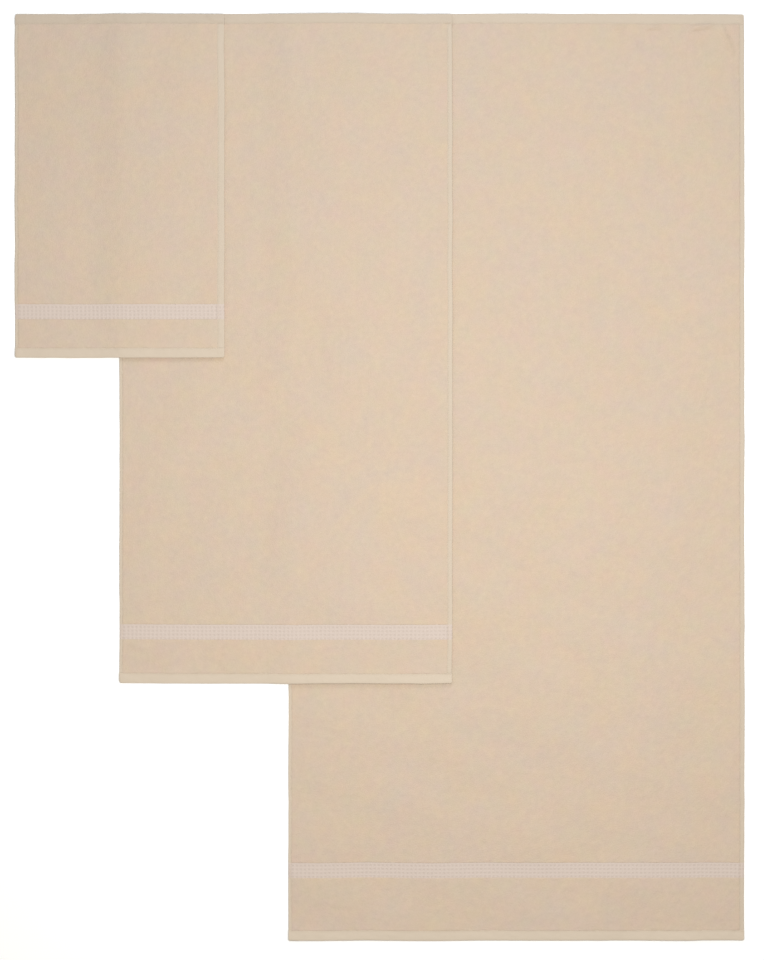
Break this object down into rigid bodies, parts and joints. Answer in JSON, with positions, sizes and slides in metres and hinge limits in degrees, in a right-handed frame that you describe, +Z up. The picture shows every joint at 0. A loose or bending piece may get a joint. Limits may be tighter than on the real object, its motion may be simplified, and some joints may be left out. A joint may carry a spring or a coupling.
{
  "type": "bath towel set",
  "caption": "Cotton terry guest, hand and bath towels laid flat in a cascade, each with folded hems and a flat figured band near its lower end.",
  "frame": {"origin": "centre of the set's outline, on the surface that it lies on", "axes": "+Y along the towels' length, from the banded ends to the ends in line; +X across the widths, from the guest towel to the bath towel; +Z up from the surface"},
  "size_m": [1.102, 1.4, 0.0079],
  "materials": {
    "terry_pile": "uncut cotton terry loops, matt, warm beige",
    "ground_weave": "plain cotton ground weave, matt",
    "dobby_weave": "flat dobby weave with a small raised check, slightly paler and smoother than the pile",
    "hem_weave": "flat plain weave folded over and sewn",
    "sewing_thread": "spun polyester sewing thread, slight sheen"
  },
  "bodies": {
    "bath_towel": {"bath_ground_cloth": "ground_weave", "bath_face_pile_main": "terry_pile", "bath_face_pile_end": "terry_pile", "bath_back_pile_main": "terry_pile", "bath_back_pile_end": "terry_pile", "bath_dobby_band": "dobby_weave", "bath_top_hem": "hem_weave", "bath_bottom_hem": "hem_weave", "bath_left_hem": "hem_weave", "bath_right_hem": "hem_weave", "bath_top_hem_stitching": "sewing_thread", "bath_bottom_hem_stitching": "sewing_thread", "bath_left_hem_stitching": "sewing_thread", "bath_right_hem_stitching": "sewing_thread"},
    "hand_towel": {"hand_ground_cloth": "ground_weave", "hand_face_pile_main": "terry_pile", "hand_face_pile_end": "terry_pile", "hand_back_pile_main": "terry_pile", "hand_back_pile_end": "terry_pile", "hand_dobby_band": "dobby_weave", "hand_top_hem": "hem_weave", "hand_bottom_hem": "hem_weave", "hand_left_hem": "hem_weave", "hand_right_hem": "hem_weave", "hand_top_hem_stitching": "sewing_thread", "hand_bottom_hem_stitching": "sewing_thread", "hand_left_hem_stitching": "sewing_thread", "hand_right_hem_stitching": "sewing_thread"},
    "guest_towel": {"guest_ground_cloth": "ground_weave", "guest_face_pile_main": "terry_pile", "guest_face_pile_end": "terry_pile", "guest_back_pile_main": "terry_pile", "guest_back_pile_end": "terry_pile", "guest_dobby_band": "dobby_weave", "guest_top_hem": "hem_weave", "guest_bottom_hem": "hem_weave", "guest_left_hem": "hem_weave", "guest_right_hem": "hem_weave", "guest_top_hem_stitching": "sewing_thread", "guest_bottom_hem_stitching": "sewing_thread", "guest_left_hem_stitching": "sewing_thread", "guest_right_hem_stitching": "sewing_thread"}
  },
  "joints": [
    {"name": "hand_towel_lift", "type": "slide", "parent": "bath_towel", "child": "hand_towel", "axis": [0, 0, 1], "range_m": [0, 0.3]},
    {"name": "guest_towel_lift", "type": "slide", "parent": "hand_towel", "child": "guest_towel", "axis": [0, 0, 1], "range_m": [0, 0.3]}
  ]
}
